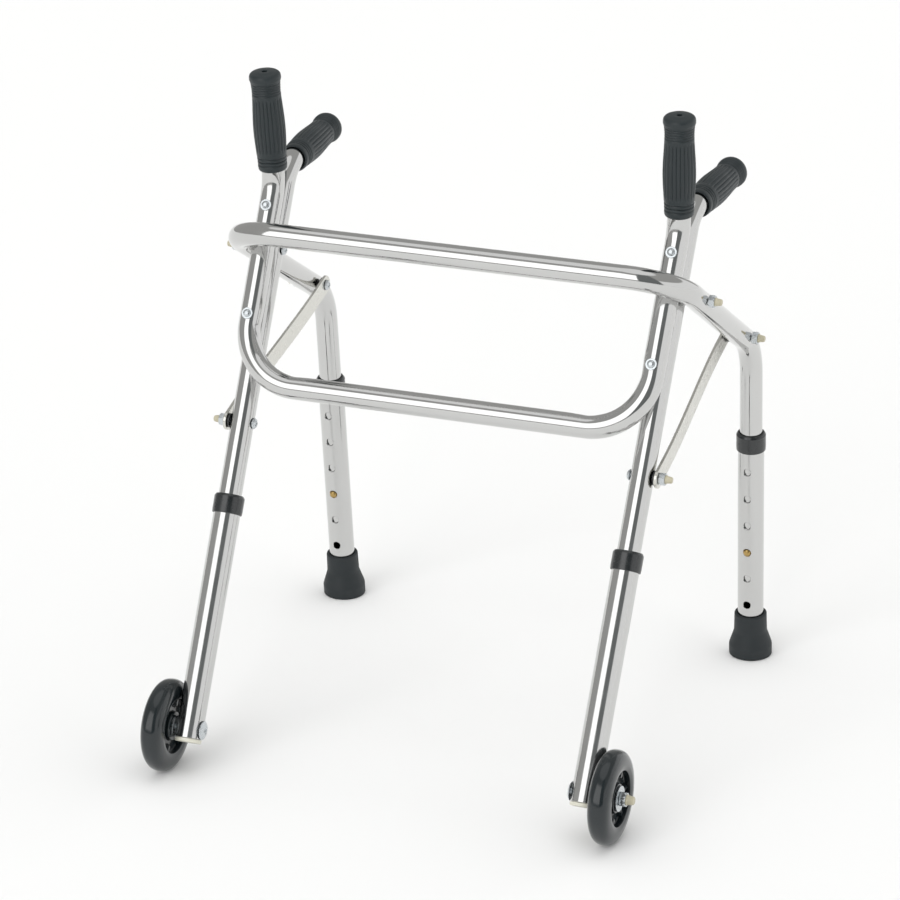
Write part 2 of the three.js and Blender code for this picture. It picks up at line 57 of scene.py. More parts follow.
camera_data = bpy.data.cameras.new("camera")
camera_data.lens = CAMERA_LENS
camera_data.sensor_width = CAMERA_SENSOR
camera_data.shift_x, camera_data.shift_y = CAMERA_SHIFT
camera = bpy.data.objects.new("camera", camera_data)
turn = (Matrix.Rotation(CAMERA_AZIMUTH, 4, "Z") @ Matrix.Rotation(math.pi / 2 - CAMERA_ELEVATION, 4, "X")
        @ Matrix.Rotation(CAMERA_ROLL, 4, "Z"))
camera.matrix_world = Matrix.Translation(CAMERA_PLACE) @ turn
bpy.context.scene.collection.objects.link(camera)
bpy.context.scene.camera = camera
bpy.context.scene.view_settings.view_transform = "Standard"

# ---- Studio -----------------------------------------------------------------------------------
# A white floor that runs to the horizon under a tent of light: a broad white panel stands in front,
# a softbox hangs over it, and the rest of the room is dim, which draws the dark lines in the chrome.
FLOOR_HALF = 30.0


def linear(colour):
    """sRGB hex to linear light: a straight line below 0.04045, and a power of 2.4 above it."""
    srgb = np.array([int(colour[i:i + 2], 16) for i in (0, 2, 4)]) / 255
    return (*np.where(srgb <= 0.04045, srgb / 12.92, ((srgb + 0.055) / 1.055) ** 2.4), 1.0)


def add_node(tree, kind, inputs=None, **settings):
    """Adds a node with its settings. Each input is a value, or another node's output to link."""
    node = tree.nodes.new(kind)
    for name, value in settings.items():
        setattr(node, name, value)
    for name, value in (inputs or {}).items():
        if isinstance(value, bpy.types.NodeSocket):
            tree.links.new(value, node.inputs[name])
        else:
            node.inputs[name].default_value = value
    return node


def new_material(name, **sockets):
    """A material with one shader, whose sockets are set by name. Returns it, its tree and its shader."""
    material = bpy.data.materials.new(name)
    material.use_nodes = True
    tree = material.node_tree
    shader = tree.nodes["Principled BSDF"]
    for socket, value in sockets.items():
        shader.inputs[socket.replace("_", " ")].default_value = value
    return material, tree, shader


def band(tree, value, low, high, soft):
    """1 where a value lies from low to high, falling to 0 over a soft edge outside them."""
    rise = add_node(tree, "ShaderNodeMapRange", {"Value": value, "From Min": low - soft, "From Max": low},
                    interpolation_type="SMOOTHSTEP")
    fall = add_node(tree, "ShaderNodeMapRange", {"Value": value, "From Min": high, "From Max": high + soft,
                                                 "To Min": 1.0, "To Max": 0.0},
                    interpolation_type="SMOOTHSTEP")
    return add_node(tree, "ShaderNodeMath", {0: rise.outputs[0], 1: fall.outputs[0]},
                    operation="MULTIPLY").outputs[0]


def panel(tree, under, azimuth, elevation, across, upward, soft, light):
    """Lays a panel of light, bounded in azimuth and elevation, over the light under it."""
    inside = add_node(tree, "ShaderNodeMath", {0: band(tree, azimuth, *across, soft),
                                               1: band(tree, elevation, *upward, soft)},
                      operation="MULTIPLY")
    mix = add_node(tree, "ShaderNodeMix", {"Factor": inside.outputs[0], 6: under, 7: light},
                   data_type="RGBA")
    return mix.outputs[2]


world = bpy.data.worlds.new("studio")
world.use_nodes = True
bpy.context.scene.world = world
sky = world.node_tree
sky.nodes.clear()
where = add_node(sky, "ShaderNodeTexCoord").outputs["Generated"]
part = add_node(sky, "ShaderNodeSeparateXYZ", {"Vector": where}).outputs
front = add_node(sky, "ShaderNodeMath", {0: part["Y"], 1: -1.0}, operation="MULTIPLY").outputs[0]
azimuth_rad = add_node(sky, "ShaderNodeMath", {0: part["X"], 1: front}, operation="ARCTAN2").outputs[0]
azimuth = add_node(sky, "ShaderNodeMath", {0: azimuth_rad, 1: 180 / math.pi},
                   operation="MULTIPLY").outputs[0]
elevation_rad = add_node(sky, "ShaderNodeMath", {0: part["Z"]}, operation="ARCSINE").outputs[0]
elevation = add_node(sky, "ShaderNodeMath", {0: elevation_rad, 1: 180 / math.pi},
                     operation="MULTIPLY").outputs[0]
ROOM = (0.43, 0.43, 0.42, 1)
PANELS = (
    # across, upward (degrees, from the front and from level), soft edge, light
    ((14, 52), (-6, 62), 3, (0.19, 0.2, 0.2, 1)),          # dark side of the room, to the user's left
    ((57, 165), (-6, 25), 4, (1.0, 1.0, 1.0, 1)),          # pale side wall
    ((-36, 10), (8, 48), 2, (1.8, 1.8, 1.8, 1)),           # white panel in front
    ((-200, 200), (65, 100), 2, (0.95, 0.95, 0.95, 1)),    # softbox overhead
)
FILL = 1.8                            # how much brighter the tent lights matt surfaces than it looks
lit = add_node(sky, "ShaderNodeRGB").outputs[0]
lit.default_value = ROOM
for across, upward, soft, light in PANELS:
    lit = panel(sky, lit, azimuth, elevation, across, upward, soft, light)
rays = add_node(sky, "ShaderNodeLightPath").outputs
strength = add_node(sky, "ShaderNodeMapRange", {"Value": rays["Is Glossy Ray"], "To Min": FILL,
                                                "To Max": 1.0})
seen = add_node(sky, "ShaderNodeBackground", {"Color": (1, 1, 1, 1), "Strength": 1.0}).outputs[0]
felt = add_node(sky, "ShaderNodeBackground", {"Color": lit, "Strength": strength.outputs[0]}).outputs[0]
both = add_node(sky, "ShaderNodeMixShader", {0: rays["Is Camera Ray"], 1: felt, 2: seen}).outputs[0]
add_node(sky, "ShaderNodeOutputWorld", {"Surface": both})

floor_mesh = bpy.data.meshes.new("floor")
corners = [(x, y, 0) for x, y in ((-1, -1), (1, -1), (1, 1), (-1, 1))]
floor_mesh.from_pydata((np.array(corners) * FLOOR_HALF).tolist(), [], [(0, 1, 2, 3)])
floor = bpy.data.objects.new("floor", floor_mesh)
bpy.context.scene.collection.objects.link(floor)
# White background paper, matt, as it hangs in a studio.
matt_paper, _, _ = new_material("matt white paper", Base_Color=(0.87, 0.87, 0.87, 1), Roughness=0.9)
floor_mesh.materials.append(matt_paper)

# ---- Top frame tube ---------------------------------------------------------------------------
# One length of 3/4 inch tube, bent four times: rear leg, side arm, upper crossbar, side arm, rear
# leg. It is bright plated and polished along its length, which leaves fine lines in the gloss.
MM = 0.001
SIDES = (("left", 1), ("right", -1))
UPPER_R, UPPER_BORE_R = 9.525 * MM, 8.3 * MM
CORNER_BEND, REAR_BEND = 44 * MM, 52 * MM
REAR_TUBE_END = 62 * MM        # bottom end of the tube, up the leg from the floor
RIM = 0.25 * MM                # rounding of a cut tube end
ROUND = 64                     # columns round a tube
STEP = 6 * MM                  # spacing of the rows along a straight run
BEND_STEP = math.radians(3)
CORNER_PINCH, PINCH_REACH = 0.35 * MM, 8 * MM
DRAWN_SCALE = (12, 3300, 1)    # polishing lines for each metre along the tube and round it


def unit(vector):
    return np.asarray(vector, float) / np.linalg.norm(vector)


def centre(node):
    """Middle of a CAD node's box."""
    return (np.array(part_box(node)[0]) + np.array(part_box(node)[1])) / 2


def joint_axis(name):
    return unit(next(j["axis"] for j in frame["joints"] if j["name"] == name))


def mirrored(points):
    """The same points on the other side of the frame, in the opposite order."""
    return [p * (-1, 1, 1) for p in points][::-1]


def add_piece(name, patches, material, body, replaced=(), sharp=40):
    """One mesh from patches of (points, uv): each is a grid whose neighbours are joined by quads. Grids weld
    to each other and to themselves where their points meet, and the faces are turned outwards."""
    points, flat, quads, start = [], [], [], 0
    for grid, uv in patches:
        rows, columns = grid.shape[:2]
        index = start + np.arange(rows * columns).reshape(rows, columns)
        around = [index[:-1, :-1], index[1:, :-1], index[1:, 1:], index[:-1, 1:]]
        quads.append(np.stack(around, -1).reshape(-1, 4))
        points.append(grid.reshape(-1, 3))
        flat.append(uv.reshape(-1, 2))
        start += rows * columns
    points, flat, quads = (np.concatenate(a) for a in (points, flat, quads))
    mesh = bpy.data.meshes.new(name)
    mesh.from_pydata(points.tolist(), [], quads.tolist())
    layer = mesh.uv_layers.new(name="UVMap")
    layer.data.foreach_set("uv", flat[quads.reshape(-1)].astype(np.float32).reshape(-1))
    shell = bmesh.new()
    shell.from_mesh(mesh)
    bmesh.ops.remove_doubles(shell, verts=shell.verts, dist=1e-6)
    bmesh.ops.recalc_face_normals(shell, faces=shell.faces)
    shell.to_mesh(mesh)
    shell.free()
    mesh.shade_smooth()
    mesh.set_sharp_from_angle(angle=math.radians(sharp))
    mesh.materials.append(material)
    piece = bpy.data.objects.new(name, mesh)
    bpy.context.scene.collection.objects.link(piece)
    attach(piece, body)
    if replaced:
        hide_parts(*replaced)


def bent_line(corners, bends):
    """Centre line through corners, with a bend of a given radius at each inner one: straight runs in equal
    steps, joined by arcs. Returns its points and its unit tangents."""
    line, tangents, cursor = [], [], corners[0]
    for before, corner, after, bend in zip(corners, corners[1:], corners[2:], bends):
        arriving, leaving = unit(corner - before), unit(after - corner)
        angle = math.acos(arriving @ leaving)
        start = corner - bend * math.tan(angle / 2) * arriving
        inward = unit(leaving - (leaving @ arriving) * arriving)
        run = np.linspace(cursor, start, max(3, round(np.linalg.norm(start - cursor) / STEP)))[:-1]
        turn = np.linspace(0, angle, max(8, round(angle / BEND_STEP)))[:, None]
        arc = start + bend * (np.sin(turn) * arriving + (1 - np.cos(turn)) * inward)
        line += [run, arc[:-1]]
        turning = np.cos(turn) * arriving + np.sin(turn) * inward
        tangents += [np.tile(arriving, (len(run), 1)), turning[:-1]]
        cursor = arc[-1]
    last = unit(corners[-1] - corners[-2])
    run = np.linspace(cursor, corners[-1], max(3, round(np.linalg.norm(corners[-1] - cursor) / STEP)))
    return np.concatenate([*line, run]), np.concatenate([*tangents, np.tile(last, (len(run), 1))])


def bent_tube(corners, bends, outer, bore, pinch=0.0):
    """Patches of a tube wall: a circle carried along the bent line, square to it, and turned from station
    to station by the least rotation. The bore runs back inside it, and each cut end is slightly rounded.
    pinch presses the inner side of each bend in, by exp(-d^2) of the distance d from where the bend starts
    or ends, as a share of PINCH_REACH. u runs along the tube and v round it."""
    line, tangents = bent_line(corners, bends)
    rims = [line[:1] + RIM * tangents[0], line[-1:] - RIM * tangents[-1]]
    line = np.concatenate([line[:1], rims[0], line[1:-1], rims[1], line[-1:]])
    tangents = np.concatenate([tangents[:1], tangents, tangents[-1:]])
    normals = [unit(np.cross(tangents[0], (0.3, 1.0, 0.2)))]
    for tangent in tangents[1:]:
        normals.append(unit(normals[-1] - (normals[-1] @ tangent) * tangent))
    normals = np.array(normals)[:, None]
    binormals = np.cross(tangents[:, None], normals)
    turn = np.linspace(0, 2 * np.pi, ROUND + 1)
    outwards = np.cos(turn)[:, None] * normals + np.sin(turn)[:, None] * binormals
    radius = np.full(outwards.shape[:2], outer)
    for before, corner, after, bend in zip(corners, corners[1:], corners[2:], bends):
        arriving, leaving = unit(corner - before), unit(after - corner)
        reach = bend * math.tan(math.acos(arriving @ leaving) / 2)
        for end, inward in ((corner - reach * arriving, leaving), (corner + reach * leaving, -arriving)):
            near = np.exp(-(np.linalg.norm(line - end, axis=1) / PINCH_REACH) ** 2)
            radius -= pinch * near[:, None] * np.clip(outwards @ inward, 0, 1) ** 3
    hollow = np.full_like(radius, bore)
    radius[[0, -1]] -= RIM
    hollow[[0, -1]] += RIM
    shell, inside = (line[:, None] + r[..., None] * outwards for r in (radius, hollow))
    along = np.concatenate([[0], np.cumsum(np.linalg.norm(np.diff(line, axis=0), axis=1))])
    along = np.concatenate([along, along[::-1], along[:1]])
    uv = np.stack(np.broadcast_arrays(along[:, None], turn * outer), -1)
    return [(np.concatenate([shell, inside[::-1], shell[:1]]), uv)]


def surface(tree, shader, noise, spread, rough, rougher, relief, height, tints=None):
    """Dulls a shader from rough to rougher where a noise rises across a spread, and tints it from one colour
    to another by that noise. Another noise, relief, gives it bumps of a given height."""
    gloss = add_node(tree, "ShaderNodeMapRange", {"Value": noise, "From Min": spread[0],
                                                  "From Max": spread[1], "To Min": rough, "To Max": rougher})
    bump = add_node(tree, "ShaderNodeBump", {"Height": relief, "Strength": 1.0, "Distance": height})
    tree.links.new(gloss.outputs[0], shader.inputs["Roughness"])
    tree.links.new(bump.outputs[0], shader.inputs["Normal"])
    if tints:
        tint = add_node(tree, "ShaderNodeMix", {"Factor": noise, 6: tints[0], 7: tints[1]},
                        data_type="RGBA")
        tree.links.new(tint.outputs[2], shader.inputs["Base Color"])


def drawn_metal(name, colour, rough, rougher, lines):
    """Plated or anodised metal polished along the tube: lines of a given height run along it, 0.3 mm apart,
    and handling marks 15 mm across dull it from rough to rougher."""
    material, tree, shader = new_material(name, Base_Color=linear(colour), Metallic=1.0)
    place = add_node(tree, "ShaderNodeTexCoord").outputs
    drawn = add_node(tree, "ShaderNodeMapping", {"Vector": place["UV"], "Scale": DRAWN_SCALE}).outputs[0]
    grain = add_node(tree, "ShaderNodeTexNoise", {"Vector": drawn, "Scale": 1.0, "Detail": 3.0}).outputs[0]
    marks = add_node(tree, "ShaderNodeTexNoise", {"Vector": place["Object"], "Scale": 65.0, "Detail": 4.0})
    surface(tree, shader, marks.outputs[0], (0.38, 0.68), rough, rougher, grain, lines)
    return material


# Bright plate on tube: almost a mirror, with a slightly warm cast.
bright_plate = drawn_metal("bright plated tube", "cccccb", 0.05, 0.14, 0.001 * MM)

mounts = {m["name"]: np.array(m["pos_m"]) for m in frame["record"]["mounts"]}
rear_foot = mounts["foot_left"]
rear_up = -joint_axis("rear_leg_height_left")
side_lean = rear_up[0] / rear_up[2]      # how far a side leans outwards, for each unit of height
main_bolt, rear_bolt = centre("main_bolt_left"), centre("rear_corner_bolt_left")
arm_slope = (rear_bolt[2] - main_bolt[2]) / (rear_bolt[1] - main_bolt[1])
rear_slope = rear_up[1] / rear_up[2]
corner_height = (main_bolt[2] + arm_slope * (rear_foot[1] - main_bolt[1])) / (1 - arm_slope * rear_slope)
crossbar_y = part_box("top_frame_tube")[0].y + UPPER_R


def on_arm(y):
    """Point of the side arm's centre line at a given y."""
    z = main_bolt[2] + arm_slope * (y - main_bolt[1])
    return np.array([rear_foot[0] + side_lean * z, y, z])


rear_tube_end = rear_foot + REAR_TUBE_END * rear_up
half = [rear_tube_end, on_arm(rear_foot[1] + rear_slope * corner_height), on_arm(crossbar_y)]
add_piece("top_frame_tube_polished",
          bent_tube(half + mirrored(half), (REAR_BEND, CORNER_BEND, CORNER_BEND, REAR_BEND), UPPER_R,
                    UPPER_BORE_R, pinch=CORNER_PINCH),
          bright_plate, "frame", ["top_frame_tube"])

# ---- Grip tube --------------------------------------------------------------------------------
# A second length of the same tube: upright grip, down the front of the leg, across as the lower
# crossbar, and up again. Two rivets on each side fix it to the legs.
GRIP_BEND, LOWER_BEND = 38 * MM, 48 * MM
GRIP_BEND_AT, LOWER_BEND_AT = -50.8 * MM, 114.6 * MM       # down the leg from the main bolt
TUBE_GAP, GRIP_PINCH = 0.35 * MM, 0.6 * MM
NEXT_TUBE = 2 * UPPER_R + TUBE_GAP                         # from one tube's axis to the next one's
TUBE_IN_GRIP = 76 * MM


def own_points(node):
    """A CAD node's own points, each one once."""
    mesh = frame["nodes"][node].data
    points = np.empty(3 * len(mesh.vertices))
    mesh.vertices.foreach_get("co", points)
    return np.unique(np.round(points.reshape(-1, 3), 6), axis=0)


def spindle(node, axis):
    """Where a turned CAD node starts along its axis, on that axis, with the axis and the node's length."""
    points = own_points(node)
    reach = (points - points.mean(0)) @ axis
    return points.mean(0) + reach.min() * np.asarray(axis), np.asarray(axis, float), np.ptp(reach)


def turned_axis(node, towards):
    """Axis of a turned CAD node: the direction in which its points spread unlike in the other two."""
    spread, directions = np.linalg.eigh(np.cov(own_points(node).T))
    axis = directions[:, 0 if spread[1] - spread[0] > spread[2] - spread[1] else 2]
    return axis * np.sign(axis @ np.asarray(towards, float))


leg_down = joint_axis("front_leg_height_left")
front_button = centre("front_button_left")
button_down = (front_button - main_bolt)[1:] @ leg_down[1:] / (leg_down[1:] @ leg_down[1:])
leg_bolt = np.array([front_button[0] - button_down * leg_down[0], *main_bolt[1:]])   # leg axis, main bolt
leg_front = unit((0, leg_down[2], -leg_down[1]))


def on_leg(distance):
    return leg_bolt + distance * leg_down


def on_grip_tube(distance):
    return on_leg(distance) + NEXT_TUBE * leg_front


grip_start, grip_up, _ = spindle("upright_grip_left", turned_axis("upright_grip_left", (0, 0, 1)))
half = [grip_start + TUBE_IN_GRIP * grip_up, on_grip_tube(GRIP_BEND_AT), on_grip_tube(LOWER_BEND_AT)]
add_piece("grip_tube_polished",
          bent_tube(half + mirrored(half), (GRIP_BEND, LOWER_BEND, LOWER_BEND, GRIP_BEND), UPPER_R,
                    UPPER_BORE_R, pinch=GRIP_PINCH),
          bright_plate, "frame", ["grip_tube"])

# ---- Upper front legs -------------------------------------------------------------------------
# Each is a straight tube with its top bent back to carry the rear grip. The main bolt fixes it to
# the side arm, and the grip tube lies along its front.
LEG_TOP_BEND = 28 * MM
LEG_BEND_AT, LEG_END_AT = -70.5 * MM, 335 * MM
for side, sign in SIDES:
    node = f"rear_grip_{side}"
    grip_start, grip_back, _ = spindle(node, turned_axis(node, (0, 1, 0)))
    here = (sign, 1, 1)
    corners = [on_leg(LEG_END_AT) * here, on_leg(LEG_BEND_AT) * here, grip_start + TUBE_IN_GRIP * grip_back]
    add_piece(f"leg_tube_polished_{side}", bent_tube(corners, (LEG_TOP_BEND,), UPPER_R, UPPER_BORE_R),
              bright_plate, "frame", [f"leg_tube_{side}"])

# ---- Grips ------------------------------------------------------------------------------------
# Four moulded rubber sleeves pushed on to the tube ends. Each has rings near both ends, 24 flutes
# along its swelling middle, a plain flange, and a dome with a vent hole that lets the air out.
GRIP_FLANGE_AT, GRIP_DOME, GRIP_BORE_R, VENT_R = 80 * MM, 5.4 * MM, 9.875 * MM, 2.2 * MM
FLUTES = 24
FLUTE_DEPTH, RING_DEPTH, GROOVE_DEPTH = 0.75 * MM, 0.7 * MM, 0.91 * MM
FLUTED = (15 * MM, 19 * MM), (61 * MM, 65 * MM)            # where the flutes fade in and out
RINGED = (66 * MM, 66.4 * MM), (76.6 * MM, 77 * MM)        # and the fine rings
RING_PITCH, GROOVE_HALF, GROOVES = 2.2 * MM, 0.55 * MM, (5.6 * MM, 8.6 * MM, 11.6 * MM)
GRIP_COLUMNS = 8 * FLUTES


def smooth(low, high, x):
    """0 below low, 1 above high, and a smooth S between them."""
    t = np.clip((x - low) / (high - low), 0, 1)
    return t * t * (3 - 2 * t)


def between(rise, fall, x):
    """1 between two smooth edges, and 0 outside them."""
    return smooth(*rise, x) * (1 - smooth(*fall, x))


def rounded(*corners, steps=6):
    """Outline of (radius, height, fillet) corners, with an arc of its fillet at each inner corner that has
    one, and a point on either side of the arc, so that flat stretches keep their shading."""
    points = np.array([c[:2] for c in corners], float)
    line = [points[:1]]
    for before, corner, after, inner in zip(points, points[1:], points[2:], corners[1:]):
        if len(inner) < 3:
            line.append(corner[None])
            continue
        arriving, leaving = unit(corner - before), unit(after - corner)
        half_angle = math.acos(np.clip(arriving @ leaving, -1, 1)) / 2
        reach = inner[2] * math.tan(half_angle)
        start, end = corner - reach * arriving, corner + reach * leaving
        middle = corner + inner[2] / math.cos(half_angle) * unit(leaving - arriving)
        spokes = start - middle + np.linspace(0, 1, steps + 1)[:, None] * (end - start)
        arc = middle + inner[2] * spokes / np.linalg.norm(spokes, axis=1, keepdims=True)
        margin = 0.15 * inner[2]
        line += [(start - margin * arriving)[None], arc, (end + margin * leaving)[None]]
    return np.concatenate([*line, points[-1:]])


def turned(outline, place, columns=48, shape=None):
    """Patches of an outline of (radius, height) turned about a spindle. shape changes the radii and heights
    as a function of radius, height and angle. u runs along the outline and v round it."""
    start, axis, _ = place
    first = unit(np.cross(axis, (0, 0, 1)))
    second = np.cross(axis, first)
    angle = np.linspace(0, 2 * np.pi, columns + 1)[None]
    radius, height = (np.repeat(a[:, None], columns + 1, 1) for a in outline.T)
    if shape:
        radius, height = shape(radius, height, angle)
    around = np.cos(angle)[..., None] * first + np.sin(angle)[..., None] * second
    grid = start + height[..., None] * axis + radius[..., None] * around
    along = np.concatenate([[0], np.cumsum(np.linalg.norm(np.diff(outline, axis=0), axis=1))])
    uv = np.stack(np.broadcast_arrays(along[:, None], angle * outline[:, 0].max()), -1)
    return [(grid, uv)]


def grip_shape(radius, height, angle):
    """The skin of the sleeve: flutes of depth 1 - |cos|^0.7 that fade out towards the rings, five fine
    rings under the flange and three grooves near the open end. The bore is left alone."""
    skin = smooth(10.6 * MM, 11.2 * MM, radius) * (height < GRIP_FLANGE_AT)
    flute = between(*FLUTED, height) * (1 - np.abs(np.cos(FLUTES / 2 * angle)) ** 0.7)
    wave = 0.5 - 0.5 * np.cos(2 * np.pi * (height - RINGED[0][0]) / RING_PITCH)
    groove = sum(np.exp(-((height - at) / GROOVE_HALF) ** 2) for at in GROOVES)
    cut = FLUTE_DEPTH * flute + RING_DEPTH * between(*RINGED, height) * wave + GROOVE_DEPTH * groove
    return radius - skin * cut, height


def grip_outline():
    """Bore, rounded mouth, then a waisted and swelling body whose radius is a smooth curve through five
    stations, then the flange, the dome and the vent hole."""
    h = np.arange(3.0, 78.0, 0.4) * MM
    stations = np.array([2, 18, 38, 64, 80]) * MM
    radii = np.array([12.0, 12.6, 13.25, 11.95, 13.1]) * MM
    body = np.stack([np.polyval(np.polyfit(stations, radii, 4), h), h], 1)
    mouth = rounded((GRIP_BORE_R, TUBE_IN_GRIP), (GRIP_BORE_R, 0, 0.5 * MM), (11.6 * MM, 0, 1.4 * MM),
                    tuple(body[0]))
    top = GRIP_FLANGE_AT + GRIP_DOME
    crown = rounded(tuple(body[-1]), (13.1 * MM, GRIP_FLANGE_AT - 1 * MM, 1.5 * MM),
                    (12.9 * MM, top - 1.5 * MM, 3.4 * MM), (5 * MM, top - 0.2 * MM, 6 * MM),
                    (VENT_R, top - 0.25 * MM, 0.35 * MM),
                    (VENT_R, TUBE_IN_GRIP + 2 * MM, 0.3 * MM), (GRIP_BORE_R - 1 * MM, TUBE_IN_GRIP + 2 * MM),
                    (GRIP_BORE_R, TUBE_IN_GRIP))
    return np.concatenate([mouth[:-1], body, crown[1:]])


def moulded(name, colour, rough, grain_mm, grain_height, worn=0.12, coat=0.0, level=0.5):
    """Moulded rubber or plastic: a fine grain of a given size, and broad, faint differences in gloss and
    shade where it has been handled."""
    material, tree, shader = new_material(name, Coat_Weight=coat, Coat_Roughness=0.2,
                                          Specular_IOR_Level=level)
    place = add_node(tree, "ShaderNodeTexCoord").outputs["Object"]
    fine = add_node(tree, "ShaderNodeTexNoise", {"Vector": place, "Scale": 1 / (grain_mm * MM),
                                                 "Detail": 2.0})
    broad = add_node(tree, "ShaderNodeTexNoise", {"Vector": place, "Scale": 90.0, "Detail": 4.0})
    lighter = tuple(min(1.0, c * 1.35 + 0.004) for c in linear(colour)[:3]) + (1,)
    surface(tree, shader, broad.outputs[0], (0.35, 0.7), rough, rough + worn, fine.outputs[0],
            grain_height * MM, (linear(colour), lighter))
    return material


# Black thermoplastic rubber, moulded satin, with a bloom that makes it a little grey.
grip_rubber = moulded("grip rubber", "172023", 0.40, 0.5, 0.02)
for kind, towards in (("upright", (0, 0, 1)), ("rear", (0, 1, 0))):
    for side, _ in SIDES:
        node = f"{kind}_grip_{side}"
        place = spindle(node, turned_axis(node, towards))
        add_piece(f"{kind}_grip_moulded_{side}", turned(grip_outline(), place, GRIP_COLUMNS, grip_shape),
                  grip_rubber, "frame", [node], sharp=60)

# ---- Stays ------------------------------------------------------------------------------------
# A flat bar on each side ties the front leg to the rear corner of the top tube. It is stamped with
# round ends, plated, and joggled between them, because the corner stands further out than the leg.
STAY_WIDTH, STAY_THICK, STAY_EDGE, STAY_PAD = 16 * MM, 2.5 * MM, 0.5 * MM, 14 * MM


def flat_bar(start, end):
    """Rounded rectangle carried along the bar: its half width is that of a circle near each end and constant
    between, and the whole section moves sideways along the joggle."""
    run = (end - start) * (0, 1, 1)
    length, along = np.linalg.norm(run), unit(run)
    across = np.cross(along, (1, 0, 0))
    r = STAY_WIDTH / 2
    tip = r - r * np.cos(np.linspace(0, np.pi / 2, 16))
    x = np.concatenate([tip, np.linspace(r, length + r, 60)[1:], (length + 2 * r - tip)[::-1][1:]])
    wide = np.sqrt(np.clip(r ** 2 - np.clip(np.maximum(r - x, x - r - length), 0, r) ** 2, 0, None))
    corner = rounded((0, -STAY_THICK / 2), (r, -STAY_THICK / 2, STAY_EDGE), (r, STAY_THICK / 2, STAY_EDGE),
                     (0, STAY_THICK / 2))
    section = np.concatenate([corner, (corner * (-1, 1))[::-1][1:]])
    shrink = wide[:, None] - (r - np.abs(section[None, :, 0]))
    w = np.sign(section[None, :, 0]) * np.clip(shrink, 0, None) * (wide[:, None] > 0)
    joggle = smooth(STAY_PAD, length - STAY_PAD, x - r) * (end - start)[0]
    side_way = (section[:, 1] + joggle[:, None])[..., None] * np.array([1, 0, 0])
    grid = start + (x - r)[:, None, None] * along + w[..., None] * across + side_way
    uv = np.stack(np.broadcast_arrays(x[:, None], section[:, 0] + section[:, 1]), -1)
    return [(grid, uv)]


# Nickel-plated flat bar, duller and warmer than the tube.
bar_plate = drawn_metal("plated flat bar", "d6d5cf", 0.22, 0.32, 0.0012 * MM)
for side, sign in SIDES:
    inner, outer = sorted(abs(corner[0]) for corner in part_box(f"stay_{side}"))
    foot, corner = centre(f"stay_foot_bolt_{side}"), centre(f"rear_corner_bolt_{side}")
    foot[0], corner[0] = sign * (outer - STAY_THICK / 2), sign * (inner + STAY_THICK / 2)
    add_piece(f"stay_bar_{side}", flat_bar(foot, corner), bar_plate, "frame", [f"stay_{side}"])

# ---- Bolts ------------------------------------------------------------------------------------
# Zinc-plated steel bolts with a domed head and a cross recess: three on each side hold the frame
# together, their heads inside, and a broad one is the axle of each wheel.
HEAD_R, HEAD_HEIGHT, SHANK_R = 4.6 * MM, 3 * MM, 2.4 * MM
AXLE_HEAD_R, AXLE_HEAD_HEIGHT, AXLE_R = 7.8 * MM, 2.4 * MM, 3.175 * MM
THREAD_PITCH, THREAD_DEPTH, THREAD_LENGTH, TIP = 0.8 * MM, 0.24 * MM, 9 * MM, 1 * MM
CROSS_WIDTH, CROSS_DEPTH, CROSS_FADE = 0.55 * MM, 1.1 * MM, (2.2 * MM, 2.9 * MM)
PLATE_WORN, PLATE_RELIEF = 0.15, 0.004 * MM


def sideways(node, sign):
    """Spindle of a node turned about X, starting at its end nearer the middle of the frame."""
    low, high = (np.array(corner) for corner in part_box(node))
    start = (low + high) / 2
    start[0] = sign * min(abs(low[0]), abs(high[0]))
    return start, np.array([sign, 0.0, 0.0]), high[0] - low[0]


def cross_recess(radius, height, angle):
    """A cross sunk into the middle of the head: two slots at right angles, fading out before the edge."""
    x, y = radius * np.cos(angle), radius * np.sin(angle)
    slot = 1 - smooth(CROSS_WIDTH, 1.5 * CROSS_WIDTH, np.minimum(np.abs(x), np.abs(y)))
    depth = slot * (1 - smooth(*CROSS_FADE, radius)) * (height < HEAD_HEIGHT / 2)
    return radius, height + CROSS_DEPTH * depth


def bolt_outline(head_r, head_height, shank_r, length):
    """Dome from its middle outwards, flat underside, and a shank with rounded threads near its end."""
    r = np.linspace(0, 0.8, 14)[:, None] * head_r
    dome = np.hstack([r, head_height * 0.4 * (r / (0.8 * head_r)) ** 2])
    rim = rounded(tuple(dome[-1]), (head_r, head_height * 0.8, 0.8 * MM), (head_r, head_height, 0.15 * MM),
                  (shank_r, head_height))
    h = np.arange(length - THREAD_LENGTH, length - TIP, THREAD_PITCH / 4)
    thread = np.stack([shank_r - THREAD_DEPTH / 2 * (1 - np.cos(2 * np.pi * h / THREAD_PITCH)), h], 1)
    tip = rounded(tuple(thread[-1]), (shank_r - 0.1 * MM, length, 0.5 * MM), (0, length))
    return np.concatenate([dome[:-1], rim, thread, tip[1:]])


def plated(name, colour, rough, spots):
    """Plated or plain metal: slightly uneven, with a gloss and tint that vary in spots of a given size."""
    material, tree, shader = new_material(name, Metallic=1.0)
    place = add_node(tree, "ShaderNodeTexCoord").outputs["Object"]
    cloud = add_node(tree, "ShaderNodeTexNoise", {"Vector": place, "Scale": 1 / (spots * MM), "Detail": 4.0})
    fine = add_node(tree, "ShaderNodeTexNoise", {"Vector": place, "Scale": 3000.0})
    darker = tuple(0.8 * c for c in linear(colour)[:3]) + (1,)
    surface(tree, shader, cloud.outputs[0], (0.3, 0.7), rough, rough + PLATE_WORN, fine.outputs[0],
            PLATE_RELIEF, (darker, linear(colour)))
    return material


